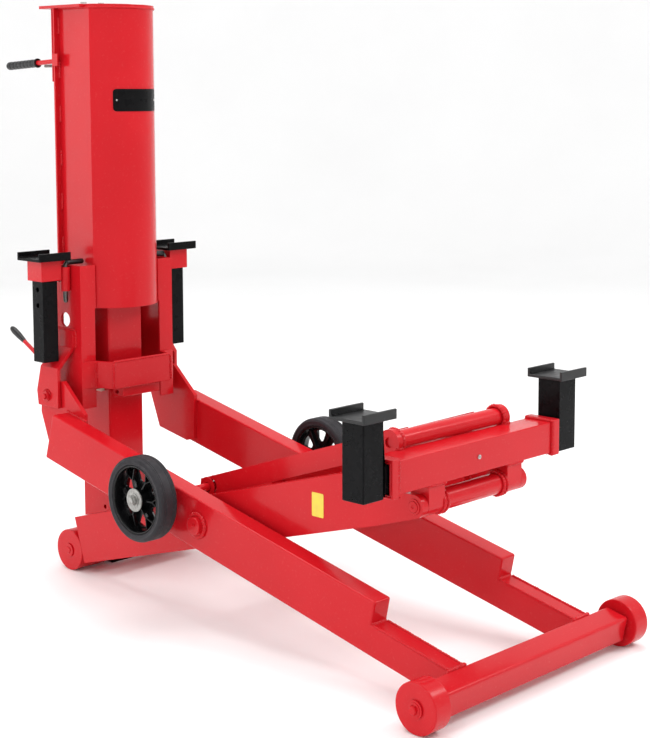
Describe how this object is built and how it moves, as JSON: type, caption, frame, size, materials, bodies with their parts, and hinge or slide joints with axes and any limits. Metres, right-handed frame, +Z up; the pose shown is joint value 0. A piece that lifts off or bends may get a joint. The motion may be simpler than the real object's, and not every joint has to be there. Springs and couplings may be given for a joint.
{
  "type": "toe jack",
  "caption": "Air-operated scissor end-lift jack: low toe frame on rollers, leveling lift head with sliding posts and saddles, tall sliding mast and transport wheels.",
  "frame": {"origin": "centre of the column foot's underside, on the floor", "axes": "+X to the jack's right-hand side, +Y from the lifting head towards the mast's back, +Z up"},
  "size_m": [0.948, 2.2185, 1.855],
  "materials": {
    "red_paint": "gloss",
    "black_paint": "satin",
    "rim_black": "gloss",
    "tyre": "matte",
    "bare_steel": "satin",
    "grip": "satin",
    "nylon": "matte",
    "foot_black": "matte",
    "seal_rubber": "matte"
  },
  "bodies": {
    "column": {"column_post": "red_paint", "column_foot": "foot_black", "rear_axle": "red_paint", "cylinder_barrel": "bare_steel", "air_inlet": "bare_steel"},
    "mast": {"mast_shroud": "red_paint", "mast_back_plate": "red_paint", "mast_top_plate": "red_paint", "side_channels": "red_paint", "crossmember": "red_paint", "latch_block": "red_paint", "ear_plates": "red_paint", "ear_pins": "red_paint", "storage_collars": "red_paint", "guide_pads": "nylon", "top_bolts": "bare_steel", "stop_bar": "red_paint", "return_spring": "bare_steel"},
    "cylinder_rod": {"cylinder_rod": "bare_steel", "piston": "bare_steel", "piston_seal": "seal_rubber"},
    "control_lever": {"lever_rod": "red_paint", "lever_grip": "grip"},
    "lock_lever": {"lock_lever": "red_paint"},
    "main_frame": {"left_beam": "red_paint", "right_beam": "red_paint", "front_cross_tube": "red_paint", "frame_lugs": "red_paint", "front_axles": "red_paint", "pivot_shaft": "red_paint", "link_shaft": "red_paint", "wheel_axles": "bare_steel", "wheel_nuts": "bare_steel"},
    "lift_arms": {"left_arm": "red_paint", "right_arm": "red_paint", "arm_cross_tube": "red_paint", "axle_lugs": "red_paint"},
    "head": {"head_tube": "red_paint", "head_collars": "red_paint", "head_lugs": "red_paint", "head_pins": "red_paint", "set_screw": "bare_steel"},
    "leveling_link": {"link_tube": "red_paint", "link_bars": "red_paint"},
    "left_front_roller": {"left_front_roller": "red_paint"},
    "right_front_roller": {"right_front_roller": "red_paint"},
    "left_rear_roller": {"left_rear_roller": "red_paint"},
    "right_rear_roller": {"right_rear_roller": "red_paint"},
    "left_wheel": {"left_tyre": "tyre", "left_rim": "rim_black"},
    "right_wheel": {"right_tyre": "tyre", "right_rim": "rim_black"},
    "left_side_arm": {"left_side_arm": "black_paint"},
    "right_side_arm": {"right_side_arm": "black_paint"},
    "left_saddle": {"left_saddle": "black_paint"},
    "right_saddle": {"right_saddle": "black_paint"},
    "left_adapter": {"left_adapter": "black_paint"},
    "right_adapter": {"right_adapter": "black_paint"},
    "left_pin": {"left_pin": "bare_steel"},
    "right_pin": {"right_pin": "bare_steel"}
  },
  "joints": [
    {"name": "lift", "type": "hinge", "parent": "column", "child": "lift_arms", "pos_m": [0, -0.037, 0.0675], "axis": [-1, 0, 0], "range_deg": [-16, 21]},
    {"name": "scissor", "type": "hinge", "parent": "lift_arms", "child": "main_frame", "pos_m": [0, -0.77889, 0.30832], "axis": [-1, 0, 0], "range_deg": [-36.78, 28.07]},
    {"name": "mast_pivot", "type": "hinge", "parent": "main_frame", "child": "mast", "pos_m": [0, 0.018, 0.58], "axis": [-1, 0, 0], "range_deg": [-12.07, 15.78]},
    {"name": "head_pivot", "type": "hinge", "parent": "lift_arms", "child": "head", "pos_m": [0, -1.54739, 0.48707], "axis": [-1, 0, 0], "range_deg": [-21.2, 16.2]},
    {"name": "link_pivot", "type": "hinge", "parent": "head", "child": "leveling_link", "pos_m": [0, -1.47239, 0.64907], "axis": [-1, 0, 0], "range_deg": [-13.64, 17.84]},
    {"name": "rod_slide", "type": "slide", "parent": "column", "child": "cylinder_rod", "axis": [0, 0, 1], "range_m": [-0.372, 0.482]},
    {"name": "left_front_roll", "type": "hinge", "parent": "main_frame", "child": "left_front_roller", "pos_m": [-0.43, -1.76491, 0.0675], "axis": [1, 0, 0], "continuous": true},
    {"name": "right_front_roll", "type": "hinge", "parent": "main_frame", "child": "right_front_roller", "pos_m": [0.43, -1.76491, 0.0675], "axis": [1, 0, 0], "continuous": true},
    {"name": "left_rear_roll", "type": "hinge", "parent": "column", "child": "left_rear_roller", "pos_m": [-0.157, -0.037, 0.0675], "axis": [1, 0, 0], "continuous": true},
    {"name": "right_rear_roll", "type": "hinge", "parent": "column", "child": "right_rear_roller", "pos_m": [0.157, -0.037, 0.0675], "axis": [1, 0, 0], "continuous": true},
    {"name": "left_wheel_spin", "type": "hinge", "parent": "main_frame", "child": "left_wheel", "pos_m": [-0.38, -0.62229, 0.37595], "axis": [1, 0, 0], "continuous": true},
    {"name": "right_wheel_spin", "type": "hinge", "parent": "main_frame", "child": "right_wheel", "pos_m": [0.38, -0.62229, 0.37595], "axis": [1, 0, 0], "continuous": true},
    {"name": "left_arm_slide", "type": "slide", "parent": "head", "child": "left_side_arm", "axis": [-1, 0, 0], "range_m": [-0.012, 0.11]},
    {"name": "right_arm_slide", "type": "slide", "parent": "head", "child": "right_side_arm", "axis": [1, 0, 0], "range_m": [-0.012, 0.11]},
    {"name": "left_saddle_lift", "type": "slide", "parent": "left_side_arm", "child": "left_saddle", "axis": [0, 0, 1], "range_m": [0, 0.13]},
    {"name": "right_saddle_lift", "type": "slide", "parent": "right_side_arm", "child": "right_saddle", "axis": [0, 0, 1], "range_m": [0, 0.13]},
    {"name": "left_adapter_lift", "type": "slide", "parent": "mast", "child": "left_adapter", "axis": [0, 0, 1], "range_m": [0, 0.33]},
    {"name": "right_adapter_lift", "type": "slide", "parent": "mast", "child": "right_adapter", "axis": [0, 0, 1], "range_m": [0, 0.33]},
    {"name": "left_pin_swing", "type": "hinge", "parent": "mast", "child": "left_pin", "pos_m": [-0.207, -0.032, 1], "axis": [0, 0, -1], "range_deg": [0, 90]},
    {"name": "right_pin_swing", "type": "hinge", "parent": "mast", "child": "right_pin", "pos_m": [0.207, -0.032, 1], "axis": [0, 0, 1], "range_deg": [0, 90]},
    {"name": "control_lever", "type": "hinge", "parent": "mast", "child": "control_lever", "pos_m": [-0.117, 0.101, 1.668], "axis": [1, 0, 0], "range_deg": [-12, 0], "stiffness_Nm_per_rad": 20, "springref_deg": 20.05},
    {"name": "lock_lever", "type": "hinge", "parent": "mast", "child": "lock_lever", "pos_m": [-0.158, 0.108, 0.634], "axis": [1, 0, 0], "range_deg": [-25, 20]}
  ],
  "couplings": [
    {"joint": "scissor", "follows": "lift", "ratio": -1.742},
    {"joint": "mast_pivot", "follows": "lift", "ratio": 0.742},
    {"joint": "head_pivot", "follows": "lift", "ratio": -1},
    {"joint": "link_pivot", "follows": "lift", "ratio": 0.84},
    {"joint": "rod_slide", "follows": "lift", "m_per_rad": 1.29}
  ]
}
